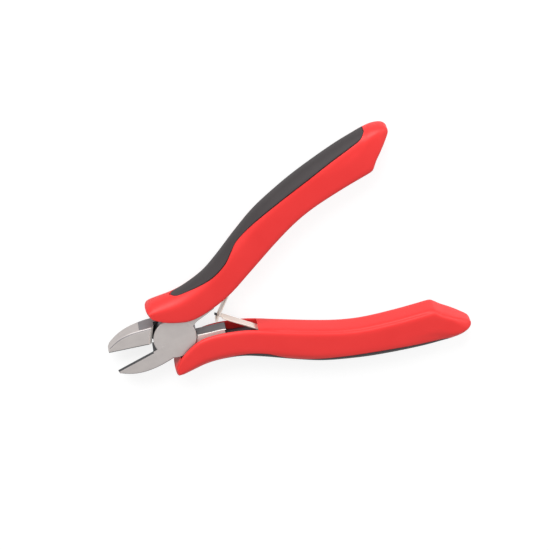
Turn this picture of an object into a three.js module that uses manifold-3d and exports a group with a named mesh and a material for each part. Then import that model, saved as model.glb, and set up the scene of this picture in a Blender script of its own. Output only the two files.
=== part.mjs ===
// Small side cutters with two-material grips, open, lying flat.
// Millimetres, +Z up. X runs along the tool from the jaws (-X) to the handles (+X), and Y towards
// the upper handle. The origin is on the joint's axis, at the front face of the joint boss.
// Every outline is drawn for the closed tool, with the piece's own handle on +Y. Each half is then
// mirrored to its own side and turned open about the joint.
import * as THREE from "three";
import { mergeVertices } from "three/addons/utils/BufferGeometryUtils.js";
import Module from "manifold-3d";

const wasm = await Module();
wasm.setup();

// Clearances
const FIT_GAP = 0.3;
const JAW_CLOSED_GAP = 0.2;

// Joint
const HALF_OPEN_ANGLE = THREE.MathUtils.degToRad(9.0);
const STEEL_THICKNESS = 7.4;
const BOSS_RADIUS = 7.15;
const LAP_STEP_ANGLE = THREE.MathUtils.degToRad(19.0);
const LAP_STEP_CHAMFER = 1.1;
const RIVET_SHANK_RADIUS = 2.4;
const RIVET_HEAD_RADIUS = 4.0;
const RIVET_HEAD_THICKNESS = 1.4;
const RIVET_COVER = 0.8;

// Jaws
const JAW_LENGTH = 22.3;
const JAW_ROOT_WIDTH = 6.1;
const JAW_TIP_WIDTH = 1.4;
const JAW_TIP_THICKNESS = 4.2;
const JAW_BACK_FULLNESS = 3.8;
const JAW_TAPER_START = 8.6;
const EDGE_DEPTH = 0.5;
const FRONT_BEVEL_SLOPE = 1.0;
const REAR_BEVEL_SLOPE = 0.48;

// Tangs: inner and outer edge of the steel inside the handle
const TANG_THICKNESS = 5.2;
const TANG_LENGTH = 62.0;
const TANG_INNER = [
  [6.0, 1.4], [11.5, 1.7], [16.6, 2.0], [26.5, 5.3], [40.0, 11.6], [52.0, 15.7], [TANG_LENGTH, 17.8],
];
const TANG_OUTER = [
  [2.0, 6.9], [12.0, 9.4], [20.0, 9.9], [28.0, 11.6], [40.0, 16.0], [52.0, 19.4], [TANG_LENGTH, 21.0],
];

// Room milled into the tang's inner edge, over which the leaf spring stands
const SPRING_ROOM = [[16.8, 0.0], [16.8, 4.3], [17.1, 4.9], [17.8, 5.1], [26.5, 6.0], [26.5, 0.0]];

// Web on the front half that fills the corner between its boss and its tang, at the boss's full height
const WEB = [[6.6, -0.6], [7.4, 0.6], [9.5, 1.2], [13.0, 1.5], [16.6, 2.0], [12.5, 5.5], [5.5, 5.5]];

// Leaf springs: blade from its root in the tang to where the two leaves cross on the tool's middle line
const LEAF_THICKNESS = 0.5;
const LEAF_WIDTH = 3.6;
const LEAF_ROOT = [28.6, 6.9];
const LEAF_CROSSING_RADIUS = 15.8;
const LEAF_OVERSHOOT = 1.3;
const TONGUE_WIDTH = 1.3;
const EYE_LENGTH = 2.6;
const EYE_BAR = 0.7;

// Grips: inner and outer edge of the moulding, its slanted end face, and its depth to each side
const GRIP_START = -2.6;
const GRIP_CORNER = [85.0, 14.3];
const GRIP_TIP = 96.1;
const GRIP_SPREAD = 27.8;
const GRIP_INNER = [
  [GRIP_START, 10.6], [-1.0, 8.7], [0.9, 6.6], [4.4, 4.1], [7.5, 2.6], [11.5, 2.0], [16.6, 2.2], [24.0, 3.4],
  [33.6, 6.5], [45.6, 10.5], [54.2, 12.9], [61.8, 14.1], [72.8, 14.5], GRIP_CORNER,
];
const GRIP_END_FACE = [GRIP_CORNER, [87.5, 16.7], [90.0, 18.5], [94.0, 21.4], [95.7, 22.8], [GRIP_TIP, 23.7]];
const GRIP_OUTER = [
  [GRIP_START, 13.9], [-0.2, 14.3], [7.8, 13.0], [12.8, 12.9], [19.8, 13.8], [26.7, 16.2], [35.6, 19.9],
  [44.6, 23.2], [53.6, 25.2], [63.5, 26.7], [77.5, GRIP_SPREAD], [86.5, GRIP_SPREAD], [91.5, 27.3],
  [94.5, 26.2], [95.8, 25.0], [GRIP_TIP, 23.9],
];
const GRIP_HALF_DEPTH = 5.3;
const GRIP_NOSE_HALF_DEPTH = 2.4;
const GRIP_END_HALF_DEPTH = 1.6;
const GRIP_NOSE_RUN = 3.6;
const GRIP_END_RUN = 17.0;
const GRIP_INNER_SQUARENESS = 5.0;
const GRIP_OUTER_SQUARENESS = 2.3;
const GRIP_LAND = 1.05;
const POCKET_END = 27.2;
const HEAD_ROOM = 1.55;

// Inlays: lower edge of the soft inlay on the flank of the grip, from its front tip to its rear tip
const INLAY_EDGE = [
  [6.4, 13.3], [8.6, 12.5], [11.8, 12.1], [18.3, 11.8], [23.2, 12.3], [28.2, 14.0], [31.8, 16.3],
  [35.2, 18.4], [42.7, 20.7], [53.3, 22.5], [65.7, 24.0], [75.7, 25.2], [83.0, 25.8],
  [87.0, 26.3], [89.4, 27.4],
];

// Facets
const ROUND_SEGMENTS = 48;
const RING_POINTS = 24;
const OUTLINE_STEP = 3.0;
const FINE_STEP = 1.0;
const NOSE_FINE_RUN = 4.0;
const TIP_INSETS = [1.5, 0.6, 0.15];
const REACH = 40.0;

// Worked out from the sizes above
const HALF_THICKNESS = STEEL_THICKNESS / 2;
const TANG_HALF_THICKNESS = TANG_THICKNESS / 2;
const POCKET_HALF_DEPTH = HALF_THICKNESS + FIT_GAP;
const BORE_HALF_DEPTH = TANG_HALF_THICKNESS + FIT_GAP;
const JAW_TAPER_SLOPE = (HALF_THICKNESS - JAW_TIP_THICKNESS / 2) / (JAW_LENGTH - JAW_TAPER_START);
const LAP_SEAT_RADIUS = BOSS_RADIUS + FIT_GAP;
const HEAD_ROOM_RADIUS = BOSS_RADIUS + HEAD_ROOM;
const LEAF_CROSSING = [
  LEAF_CROSSING_RADIUS * Math.cos(HALF_OPEN_ANGLE),
  -LEAF_CROSSING_RADIUS * Math.sin(HALF_OPEN_ANGLE),
];
const LEAF_LENGTH = Math.hypot(LEAF_ROOT[0] - LEAF_CROSSING[0], LEAF_ROOT[1] - LEAF_CROSSING[1]);
const LEAF_OPEN_ANGLE = Math.atan2(LEAF_ROOT[1] - LEAF_CROSSING[1], LEAF_ROOT[0] - LEAF_CROSSING[0]);
const LEAF_CLOSED_ANGLE = Math.asin(LEAF_ROOT[1] / LEAF_LENGTH);

// Smooth curve y(x) through a list of points with rising x: cubic steps with the neighbours' slope.
function edgeThrough(points) {
  const slope = points.map((point, i) => {
    const before = points[Math.max(i - 1, 0)];
    const after = points[Math.min(i + 1, points.length - 1)];
    return (after[1] - before[1]) / (after[0] - before[0]);
  });
  return (x) => {
    let i = 0;
    while (i < points.length - 2 && x > points[i + 1][0]) i += 1;
    const [x0, y0] = points[i];
    const [x1, y1] = points[i + 1];
    const run = x1 - x0;
    const t = THREE.MathUtils.clamp((x - x0) / run, 0, 1);
    const s = 1 - t;
    const ends = s * s * (1 + 2 * t) * y0 + t * t * (1 + 2 * s) * y1;
    return ends + run * s * t * (s * slope[i] - t * slope[i + 1]);
  };
}

// Even steps from one value to another, ends included.
function steps(from, to, size) {
  const count = Math.max(1, Math.round((to - from) / size));
  return Array.from({ length: count + 1 }, (_, i) => from + ((to - from) * i) / count);
}

const tangInner = edgeThrough(TANG_INNER);
const tangOuter = edgeThrough(TANG_OUTER);
const gripOuter = edgeThrough(GRIP_OUTER);
const gripFlat = edgeThrough(GRIP_INNER);
const gripEndFace = edgeThrough(GRIP_END_FACE);
const inlayEdge = edgeThrough(INLAY_EDGE);

// Inner edge of the grip: the flat towards the other handle, then the slanted end face.
function gripInner(x) {
  return x <= GRIP_CORNER[0] ? gripFlat(x) : gripEndFace(x);
}

// Half the grip's depth: full along the handle, drawn in round the nose and round the end.
function gripHalfDepth(x) {
  const nose = THREE.MathUtils.clamp(1 - (x - GRIP_START) / GRIP_NOSE_RUN, 0, 1);
  const end = THREE.MathUtils.clamp(1 - (GRIP_TIP - x) / GRIP_END_RUN, 0, 1);
  const noseDrop = (GRIP_HALF_DEPTH - GRIP_NOSE_HALF_DEPTH) * (1 - Math.sqrt(1 - nose ** 2));
  const endDrop = (GRIP_HALF_DEPTH - GRIP_END_HALF_DEPTH) * (1 - Math.sqrt(1 - end ** 4));
  return GRIP_HALF_DEPTH - noseDrop - endDrop;
}

// A closed geometry becomes a solid that can be joined and cut.
function solidOf(geometry) {
  const bare = geometry.clone();
  bare.deleteAttribute("normal");
  bare.deleteAttribute("uv");
  const merged = mergeVertices(bare, 1e-5);
  const vertProperties = new Float32Array(merged.attributes.position.array);
  const triVerts = new Uint32Array(merged.index.array);
  return new wasm.Manifold(new wasm.Mesh({ numProp: 3, vertProperties, triVerts }));
}

function geometryOf(solid) {
  const { vertProperties, triVerts } = solid.getMesh();
  const geometry = new THREE.BufferGeometry();
  geometry.setAttribute("position", new THREE.BufferAttribute(new Float32Array(vertProperties), 3));
  geometry.setIndex(new THREE.BufferAttribute(new Uint32Array(triVerts), 1));
  geometry.computeVertexNormals();
  return geometry;
}

// Upright prism on an outline of [x, y] points, on the side's own half of the tool.
function prism(outline, side, bottom, top) {
  const shape = new THREE.Shape(outline.map(([x, y]) => new THREE.Vector2(x, side * y)));
  const geometry = new THREE.ExtrudeGeometry(shape, { depth: top - bottom, bevelEnabled: false });
  return solidOf(geometry.translate(0, 0, bottom));
}

function disc(radius, bottom, top) {
  const geometry = new THREE.CylinderGeometry(radius, radius, top - bottom, ROUND_SEGMENTS);
  return solidOf(geometry.rotateX(Math.PI / 2).translate(0, 0, (top + bottom) / 2));
}

// Prism along the jaw on an outline of [y, z] points that ends at xEnd and sinks with the jaw's taper.
function barAlongX(outline, side, xEnd) {
  const shape = new THREE.Shape(outline.map(([y, z]) => new THREE.Vector2(side * y, z)));
  const geometry = new THREE.ExtrudeGeometry(shape, { depth: REACH, bevelEnabled: false });
  geometry.rotateX(Math.PI / 2).rotateZ(Math.PI / 2).translate(-REACH, 0, 0);
  geometry.applyMatrix4(new THREE.Matrix4().makeShear(0, JAW_TAPER_SLOPE, 0, 0, 0, 0));
  return solidOf(geometry.translate(xEnd, 0, 0));
}

// Prism along Y on an outline of [x, z] points, wide enough to cross the whole jaw.
function barAlongY(outline) {
  const shape = new THREE.Shape(outline.map(([x, z]) => new THREE.Vector2(x, z)));
  const geometry = new THREE.ExtrudeGeometry(shape, { depth: 2 * REACH, bevelEnabled: false });
  return solidOf(geometry.rotateX(Math.PI / 2).translate(0, REACH, 0));
}

// Jaw seen from the front: straight cutting edge on the middle line, back bowed from the tip to the boss.
function jawOutline() {
  const edge = -JAW_CLOSED_GAP / 2;
  const rootX = -BOSS_RADIUS / 2;
  const back = steps(-JAW_LENGTH, rootX, FINE_STEP).map((x) => {
    const left = Math.max(0, (rootX - x) / (rootX + JAW_LENGTH));
    return [x, -JAW_TIP_WIDTH - (JAW_ROOT_WIDTH - JAW_TIP_WIDTH) * (1 - left ** JAW_BACK_FULLNESS)];
  });
  return [[-JAW_LENGTH, edge], ...back, [0, edge]];
}

// Wedges that thin the jaw towards its tip, from the front and from the rear.
function jawTapers() {
  const start = -JAW_TAPER_START;
  const past = start - REACH;
  const low = HALF_THICKNESS - JAW_TAPER_SLOPE * REACH;
  return [1, -1].map((face) => barAlongY([
    [start, face * HALF_THICKNESS],
    [past, face * low],
    [past, face * REACH],
    [start, face * REACH],
  ]));
}

// The two ground bevels that meet in the cutting edge. The edge keeps its depth under the tapered front.
function edgeBevels(side) {
  const edge = -JAW_CLOSED_GAP / 2;
  const xEnd = -JAW_TAPER_START;
  const height = HALF_THICKNESS - EDGE_DEPTH;
  const front = [
    [edge, height],
    [edge - FRONT_BEVEL_SLOPE * REACH, height + REACH],
    [REACH, height + REACH],
    [REACH, height],
  ];
  const rear = [
    [edge, height],
    [edge - REAR_BEVEL_SLOPE * REACH, height - REACH],
    [REACH, height - REACH],
    [REACH, height],
  ];
  return [barAlongX(front, side, xEnd), barAlongX(rear, side, xEnd)];
}

// Step at the jaw's root that makes room for the other half's boss: straight, slanted, with a chamfer.
function lapStep(side, face) {
  const wall = -LAP_SEAT_RADIUS;
  const lapFace = (face * FIT_GAP) / 2;
  const outline = [
    [REACH, lapFace],
    [wall, lapFace],
    [wall, face * (LAP_STEP_CHAMFER - HALF_THICKNESS)],
    [wall - LAP_STEP_CHAMFER, -face * HALF_THICKNESS],
    [wall - LAP_STEP_CHAMFER, -face * REACH],
    [REACH, -face * REACH],
  ];
  return barAlongY(outline).rotate([0, 0, side * THREE.MathUtils.radToDeg(LAP_STEP_ANGLE)]);
}

function tangOutline(margin) {
  const stations = steps(TANG_INNER[0][0], TANG_LENGTH + margin, OUTLINE_STEP);
  const inner = stations.map((x) => [x, tangInner(x) - margin]);
  const outerStations = steps(TANG_OUTER[0][0], TANG_LENGTH + margin, OUTLINE_STEP);
  const outer = outerStations.map((x) => [x, tangOuter(x) + margin]);
  return [[0, 0], ...inner, ...outer.reverse()];
}

// A point on the leaf's line: run towards the crossing from the root, and offset to the tang's side.
function leafPoint(angle, run, offset) {
  const c = Math.cos(angle);
  const s = Math.sin(angle);
  return [LEAF_ROOT[0] - run * c - offset * s, LEAF_ROOT[1] - run * s + offset * c];
}

// Notch in the tang that the leaf's root stands in, wide enough for the leaf to bend to closed.
function leafNotch(side) {
  const room = LEAF_THICKNESS / 2 + FIT_GAP;
  const heel = -room;
  const outline = [
    leafPoint(LEAF_OPEN_ANGLE, heel, -room),
    leafPoint(LEAF_OPEN_ANGLE, LEAF_LENGTH, -room),
    leafPoint(LEAF_CLOSED_ANGLE, LEAF_LENGTH, room),
    leafPoint(LEAF_CLOSED_ANGLE, heel, room),
  ];
  return prism(outline, side, -REACH, REACH);
}

// Forged half: jaw, lap of the joint and tang in one piece. face is +1 for the front lap.
function steelHalf(side, face) {
  const [frontTaper, rearTaper] = jawTapers();
  const [frontBevel, rearBevel] = edgeBevels(side);
  const jaw = prism(jawOutline(), side, -HALF_THICKNESS, HALF_THICKNESS)
    .subtract(frontTaper)
    .subtract(rearTaper)
    .subtract(frontBevel)
    .subtract(rearBevel)
    .subtract(lapStep(side, face));
  const boss = disc(BOSS_RADIUS, -HALF_THICKNESS, HALF_THICKNESS);
  const tang = prism(tangOutline(0), side, -TANG_HALF_THICKNESS, TANG_HALF_THICKNESS)
    .subtract(leafNotch(side))
    .subtract(prism(SPRING_ROOM, side, -REACH, REACH));
  const lapFace = (face * FIT_GAP) / 2;
  const web = prism(WEB, side, lapFace, HALF_THICKNESS);
  const seat = face > 0 ? disc(LAP_SEAT_RADIUS, -REACH, lapFace) : disc(LAP_SEAT_RADIUS, lapFace, REACH);
  const forging = jaw.add(boss).add(tang);
  return (face > 0 ? forging.add(web) : forging).subtract(seat).subtract(rivetSolid(FIT_GAP));
}

// Pin of the joint with its head let into the rear lap. The front lap covers its end.
function rivetSolid(margin) {
  const end = HALF_THICKNESS - RIVET_COVER + margin;
  const rear = -HALF_THICKNESS - (margin > 0 ? REACH : 0);
  const headTop = -HALF_THICKNESS + RIVET_HEAD_THICKNESS + margin;
  const shank = disc(RIVET_SHANK_RADIUS + margin, rear, end);
  const head = disc(RIVET_HEAD_RADIUS + margin, rear, headTop);
  return shank.add(head);
}

// One section of the grip: flat with tight corners towards the other handle, rounder outside.
function gripRing(x) {
  const inner = gripInner(x);
  const outer = gripOuter(x);
  const middle = (inner + outer) / 2;
  const half = (outer - inner) / 2;
  const depth = gripHalfDepth(x);
  return Array.from({ length: RING_POINTS }, (_, i) => {
    const angle = ((i + 0.5) / RING_POINTS) * 2 * Math.PI;
    const c = Math.cos(angle);
    const s = Math.sin(angle);
    const power = 2 / (c > 0 ? GRIP_OUTER_SQUARENESS : GRIP_INNER_SQUARENESS);
    const across = Math.sign(c) * Math.abs(c) ** power;
    const deep = Math.sign(s) * Math.min(1, GRIP_LAND * Math.abs(s) ** power);
    return [x, middle + half * across, depth * deep];
  });
}

// Stations along the grip, closer together round the nose, the end's corner and the tip.
function gripStations() {
  const noseEnd = GRIP_START + NOSE_FINE_RUN;
  const nose = steps(GRIP_START, noseEnd, FINE_STEP);
  const body = steps(noseEnd, GRIP_CORNER[0] - FINE_STEP, OUTLINE_STEP).slice(1);
  const tip = TIP_INSETS.map((inset) => GRIP_TIP - inset);
  const end = steps(GRIP_CORNER[0], tip[0], OUTLINE_STEP / 2);
  return [...nose, ...body, ...end, ...tip.slice(1)];
}

// Whole moulding as one skin over its sections, with a fan over each end.
function gripForm(side) {
  const rings = gripStations().map(gripRing);
  const positions = rings.flat().flatMap(([x, y, z]) => [x, side * y, z]);
  const centres = [rings[0], rings.at(-1)].map((ring) => {
    const y = ring.reduce((sum, point) => sum + point[1], 0) / RING_POINTS;
    return [ring[0][0], side * y, 0];
  });
  positions.push(...centres.flat());
  const startCentre = rings.length * RING_POINTS;
  const endCentre = startCentre + 1;
  const lastRing = (rings.length - 1) * RING_POINTS;
  const triangles = [];
  const addTriangle = (a, b, c) => triangles.push(...(side > 0 ? [a, c, b] : [a, b, c]));
  for (let i = 0; i < RING_POINTS; i += 1) {
    const next = (i + 1) % RING_POINTS;
    for (let r = 0; r < rings.length - 1; r += 1) {
      const here = r * RING_POINTS;
      const there = here + RING_POINTS;
      addTriangle(here + i, there + i, there + next);
      addTriangle(here + i, there + next, here + next);
    }
    addTriangle(startCentre, i, next);
    addTriangle(endCentre, lastRing + next, lastRing + i);
  }
  const geometry = new THREE.BufferGeometry();
  geometry.setAttribute("position", new THREE.BufferAttribute(new Float32Array(positions), 3));
  geometry.setIndex(triangles);
  return solidOf(geometry);
}

// Room in the grip for the steel: a pocket open to the other handle, then a bore for the tang.
function steelChannel(side) {
  const roof = steps(TANG_OUTER[0][0], POCKET_END, OUTLINE_STEP).map((x) => [x, tangOuter(x) + FIT_GAP]);
  const far = GRIP_START - REACH;
  const outline = [[far, -REACH], [POCKET_END, -REACH], ...roof.reverse(), [far, 0]];
  const pocket = prism(outline, side, -POCKET_HALF_DEPTH, POCKET_HALF_DEPTH);
  const bore = prism(tangOutline(FIT_GAP), side, -BORE_HALF_DEPTH, BORE_HALF_DEPTH);
  return pocket.add(bore).add(disc(HEAD_ROOM_RADIUS, -POCKET_HALF_DEPTH, POCKET_HALF_DEPTH));
}

// Everything on the outer side of the inlay's edge.
function inlayRegion(side, margin) {
  const start = INLAY_EDGE[0][0];
  const stop = INLAY_EDGE.at(-1)[0];
  const edge = steps(start, stop, OUTLINE_STEP).map((x) => [x, inlayEdge(x) - margin]);
  const outline = [[start - margin, REACH], ...edge, [stop + margin, REACH]];
  return prism(outline, side, -REACH, REACH);
}

function gripShell(side) {
  return gripForm(side).subtract(inlayRegion(side, FIT_GAP)).subtract(steelChannel(side));
}

function gripInlay(side) {
  return gripForm(side).intersect(inlayRegion(side, 0));
}

// A straight length of leaf between two runs from its root, of a given width about the middle.
function leafStrip(side, from, to, width, thickness) {
  const half = thickness / 2;
  const outline = [
    leafPoint(LEAF_OPEN_ANGLE, from, -half),
    leafPoint(LEAF_OPEN_ANGLE, to, -half),
    leafPoint(LEAF_OPEN_ANGLE, to, half),
    leafPoint(LEAF_OPEN_ANGLE, from, half),
  ];
  return prism(outline, side, -width / 2, width / 2);
}

// Leaf with an eye at its end for the other leaf's tongue.
function eyeLeaf(side) {
  const end = LEAF_LENGTH + LEAF_OVERSHOOT + EYE_BAR;
  const eyeEnd = end - EYE_BAR;
  const eye = leafStrip(side, eyeEnd - EYE_LENGTH, eyeEnd, TONGUE_WIDTH + 2 * FIT_GAP, 2 * LEAF_THICKNESS);
  return leafStrip(side, 0, end, LEAF_WIDTH, LEAF_THICKNESS).subtract(eye);
}

// Leaf with a narrow tongue at its end, which stands in the other leaf's eye.
function tongueLeaf(side) {
  const shoulder = LEAF_LENGTH - LEAF_OVERSHOOT;
  const end = LEAF_LENGTH + LEAF_OVERSHOOT;
  const blade = leafStrip(side, 0, shoulder, LEAF_WIDTH, LEAF_THICKNESS);
  return blade.add(leafStrip(side, shoulder - LEAF_THICKNESS, end, TONGUE_WIDTH, LEAF_THICKNESS));
}

const finishes = {
  steel: { color: 0xb0a9a6, roughness: 0.42, metalness: 1.0 },
  rivet: { color: 0xa8a2a0, roughness: 0.38, metalness: 1.0 },
  grip: { color: 0xed3c3a, roughness: 0.5, metalness: 0.0 },
  inlay: { color: 0x5a5153, roughness: 0.7, metalness: 0.0 },
  leaf: { color: 0xd9cfc8, roughness: 0.3, metalness: 1.0 },
};

function piece(name, solid, finish) {
  const mesh = new THREE.Mesh(geometryOf(solid), new THREE.MeshStandardMaterial(finishes[finish]));
  mesh.name = name;
  return mesh;
}

// The front half carries the lower jaw and the upper handle.
const frontGroup = new THREE.Group();
frontGroup.rotation.z = HALF_OPEN_ANGLE;
frontGroup.add(
  piece("front_half", steelHalf(1, 1), "steel"),
  piece("joint_rivet", rivetSolid(0), "rivet"),
  piece("upper_grip", gripShell(1), "grip"),
  piece("upper_grip_insert", gripInlay(1), "inlay"),
  piece("upper_leaf_spring", eyeLeaf(1), "leaf"),
);

// The rear half carries the upper jaw and the lower handle.
const rearGroup = new THREE.Group();
rearGroup.rotation.z = -HALF_OPEN_ANGLE;
rearGroup.add(
  piece("rear_half", steelHalf(-1, -1), "steel"),
  piece("lower_grip", gripShell(-1), "grip"),
  piece("lower_grip_insert", gripInlay(-1), "inlay"),
  piece("lower_leaf_spring", tongueLeaf(-1), "leaf"),
);

const sideCutters = new THREE.Group();
sideCutters.position.z = -HALF_THICKNESS;
sideCutters.add(frontGroup, rearGroup);

export default sideCutters;
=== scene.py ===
# %% [markdown]
# # Small side cutters, dressed for the camera
# The tool is two forged steel halves on one rivet. Each tang carries a red moulded grip with a dark soft
# inlay, and two hooked leaf springs push the handles open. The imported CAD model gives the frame: every piece
# below lies in the same metres and the same axes, and stands for one CAD node.

# %% Load the frame
import math

import bpy
import numpy as np
from mathutils import Matrix, Vector


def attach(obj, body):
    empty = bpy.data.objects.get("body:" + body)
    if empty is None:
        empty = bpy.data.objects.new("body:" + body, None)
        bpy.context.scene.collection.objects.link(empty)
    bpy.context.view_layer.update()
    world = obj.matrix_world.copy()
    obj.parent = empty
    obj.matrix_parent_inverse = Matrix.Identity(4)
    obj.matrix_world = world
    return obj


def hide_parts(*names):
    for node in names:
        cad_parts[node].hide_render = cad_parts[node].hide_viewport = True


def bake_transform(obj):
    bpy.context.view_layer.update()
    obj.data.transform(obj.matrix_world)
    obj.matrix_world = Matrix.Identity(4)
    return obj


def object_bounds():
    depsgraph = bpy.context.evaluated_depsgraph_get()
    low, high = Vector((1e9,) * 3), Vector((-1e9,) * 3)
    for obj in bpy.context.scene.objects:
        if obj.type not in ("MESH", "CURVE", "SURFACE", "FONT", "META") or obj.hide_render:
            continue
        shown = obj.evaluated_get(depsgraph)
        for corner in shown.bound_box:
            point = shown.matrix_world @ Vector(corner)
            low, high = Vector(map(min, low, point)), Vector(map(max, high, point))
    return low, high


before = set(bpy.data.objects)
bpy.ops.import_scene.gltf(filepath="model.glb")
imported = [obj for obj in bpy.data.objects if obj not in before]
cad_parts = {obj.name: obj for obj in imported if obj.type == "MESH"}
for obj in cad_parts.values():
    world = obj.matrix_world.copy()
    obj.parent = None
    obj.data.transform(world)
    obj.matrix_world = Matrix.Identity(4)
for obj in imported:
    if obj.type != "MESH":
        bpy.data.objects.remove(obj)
cad_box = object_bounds()
scene = bpy.context.scene
scene.view_settings.view_transform = "Standard"
print("CAD nodes:", sorted(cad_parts))

# %% [markdown]
# ## From a half's own drawing to the open tool
# Both halves are drawn alike, in millimetres, for the closed tool: the half's own handle lies on +Y and the
# joint's axis passes through x = y = 0. Mirroring the drawing gives the other half, and turning each by the
# half-open angle opens the tool. The frame's origin is on the front face of the joint, half the steel's
# thickness above the drawing's middle plane.

# %% Place a drawing in the frame
MILLIMETRE = 0.001
HALF_OPEN_ANGLE = math.radians(9.0)
HALF_THICKNESS = 3.7
FIT_GAP = 0.3


def place(own, side):
    """Mirror y by side, turn by side times the half-open angle, drop by half the steel, then to metres."""
    c, s = math.cos(HALF_OPEN_ANGLE), side * math.sin(HALF_OPEN_ANGLE)
    x, y, z = own[..., 0], side * own[..., 1], own[..., 2]
    return np.stack([c * x - s * y, s * x + c * y, z - HALF_THICKNESS], axis=-1) * MILLIMETRE


def smooth_edge(points):
    """Curve y(x) through points: cubic steps whose slope at each point is that of its two neighbours."""
    px, py = np.array(points, float).T
    before = np.maximum(np.arange(len(px)) - 1, 0)
    after = np.minimum(np.arange(len(px)) + 1, len(px) - 1)
    slope = (py[after] - py[before]) / (px[after] - px[before])

    def curve(x):
        x = np.asarray(x, float)
        i = np.clip(np.searchsorted(px, x) - 1, 0, len(px) - 2)
        run = px[i + 1] - px[i]
        t = np.clip((x - px[i]) / run, 0, 1)
        s = 1 - t
        ends = s * s * (1 + 2 * t) * py[i] + t * t * (1 + 2 * s) * py[i + 1]
        return ends + run * s * t * (s * slope[i] - t * slope[i + 1])

    return curve


print("middle of the joint at", place(np.zeros(3), 1).tolist(), "m")

# %% [markdown]
# ## Meshes from grids
# A grid of points, one row for each station along a piece and one column for each place round it, becomes
# quads between neighbours. The columns close into a loop, and each end is closed by one face. A mirrored
# half runs the other way round, so its faces are turned to keep pointing outwards.

# %% Grid to mesh
SHARP_ANGLE = math.radians(32)


def loop_faces(rows, columns):
    """Quads between each place and the next one along and the next one round, plus one face over each end."""
    here = np.arange(rows * columns).reshape(rows, columns)
    round_next = np.roll(here, -1, axis=1)
    quads = np.stack([here[:-1], round_next[:-1], round_next[1:], here[1:]], axis=-1).reshape(-1, 4)
    return quads.tolist() + [here[0, ::-1].tolist(), here[-1].tolist()]


def outward(mesh):
    """Turn the faces if the signed volume, a sixth of the sum of corner dot cross, is below zero."""
    mesh.calc_loop_triangles()
    corner = np.empty(len(mesh.vertices) * 3)
    mesh.vertices.foreach_get("co", corner)
    tri = np.empty(len(mesh.loop_triangles) * 3, np.int32)
    mesh.loop_triangles.foreach_get("vertices", tri)
    a, b, c = corner.reshape(-1, 3)[tri.reshape(-1, 3)].transpose(1, 0, 2)
    if np.einsum("ij,ij->", a, np.cross(b, c)) < 0:
        mesh.flip_normals()


def soften(piece):
    """Smooth shading, with edges over the sharp angle left sharp."""
    mesh = piece.data
    mesh.polygons.foreach_set("use_smooth", np.ones(len(mesh.polygons), bool))
    mesh.set_sharp_from_angle(angle=SHARP_ANGLE)


def loop_piece(name, own, side):
    """A closed object at the origin from a grid of loops in a half's own drawing, its place in its mesh."""
    mesh = bpy.data.meshes.new(name)
    mesh.from_pydata(place(own, side).reshape(-1, 3).tolist(), [], loop_faces(*own.shape[:2]))
    mesh.validate()
    outward(mesh)
    piece = bpy.data.objects.new(name, mesh)
    scene.collection.objects.link(piece)
    soften(piece)
    return piece


print("edges over %.0f degrees stay sharp" % math.degrees(SHARP_ANGLE))

# %% [markdown]
# ## The camera
# The photo looks down on the tool from about 27 degrees off the vertical, from the upper handle's side and
# turned so that the jaws point left. The camera is written as three directions, a distance and the picture
# point where the joint appears, so that it can be checked against the photo piece by piece.

# %% Camera
VIEW_TILT, VIEW_SIDE, TOOL_TURN = np.radians([26.83, 104.47, 24.15])
VIEW_DISTANCE = 817.2
PIXEL_AT_JOINT = 0.33
IMAGE_SIZE = np.array([548.0, 550.0])
JOINT_PIXEL = np.array([174.32, 333.45])
SENSOR_WIDTH = 36.0


def turned_back(vector):
    """Undo the tool's turn in the picture plane."""
    c, s = math.cos(TOOL_TURN), math.sin(TOOL_TURN)
    return np.array([c * vector[0] + s * vector[1], c * vector[1] - s * vector[0], vector[2]])


lean = np.array([math.cos(VIEW_SIDE), math.sin(VIEW_SIDE)])
across = np.array([lean[1], -lean[0]])
tilted = np.append(lean * math.cos(VIEW_TILT), -math.sin(VIEW_TILT))
level = np.append(across, 0.0)
right = turned_back(across[0] * level + lean[0] * tilted)
up = turned_back(across[1] * level + lean[1] * tilted)
back = turned_back(np.append(lean * math.sin(VIEW_TILT), math.cos(VIEW_TILT)))
offset = (JOINT_PIXEL - IMAGE_SIZE / 2) * PIXEL_AT_JOINT
stand = VIEW_DISTANCE * back - offset[0] * right + offset[1] * up - [0, 0, HALF_THICKNESS]

lens = bpy.data.cameras.new("view")
lens.sensor_width = SENSOR_WIDTH
lens.lens = VIEW_DISTANCE / PIXEL_AT_JOINT / IMAGE_SIZE.max() * SENSOR_WIDTH
camera = bpy.data.objects.new("view", lens)
camera_place = np.eye(4)
camera_place[:3, :3] = np.stack([right, up, back], axis=1)
camera_place[:3, 3] = stand * MILLIMETRE
camera.matrix_world = Matrix(camera_place.tolist())
scene.collection.objects.link(camera)
scene.camera = camera
print("lens %.1f mm, camera at" % lens.lens, np.round(stand).tolist(), "mm")

# %% [markdown]
# ## Shader maths as sums
# A finish is easier to read as a formula than as a web of boxes. A small class stands for one socket and
# turns plus, times and powers into Math nodes beside it.

# %% One socket
class Value:
    """One output socket: sums with numbers or other sockets add Math nodes beside it."""

    def __init__(self, nodes, socket):
        self.nodes, self.socket = nodes, socket

    def maths(self, operation, first, second=0.0):
        return self.nodes.node("ShaderNodeMath", {"operation": operation}, {0: first, 1: second})

    def __add__(self, other):
        return self.maths("ADD", self, other)

    def __mul__(self, other):
        return self.maths("MULTIPLY", self, other)

    def __pow__(self, other):
        return self.maths("POWER", self, other)

    __radd__ = __add__
    __rmul__ = __mul__


print("sums on a socket: plus, times and power")

# %% [markdown]
# Every other node comes from one method: its kind, its settings, which are set first, and then the values or
# links of its sockets. A finish is a material with one main shader, and adds the nodes that the looks below
# share: a place on the piece, noise, a mix of two colours and a bump.

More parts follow.
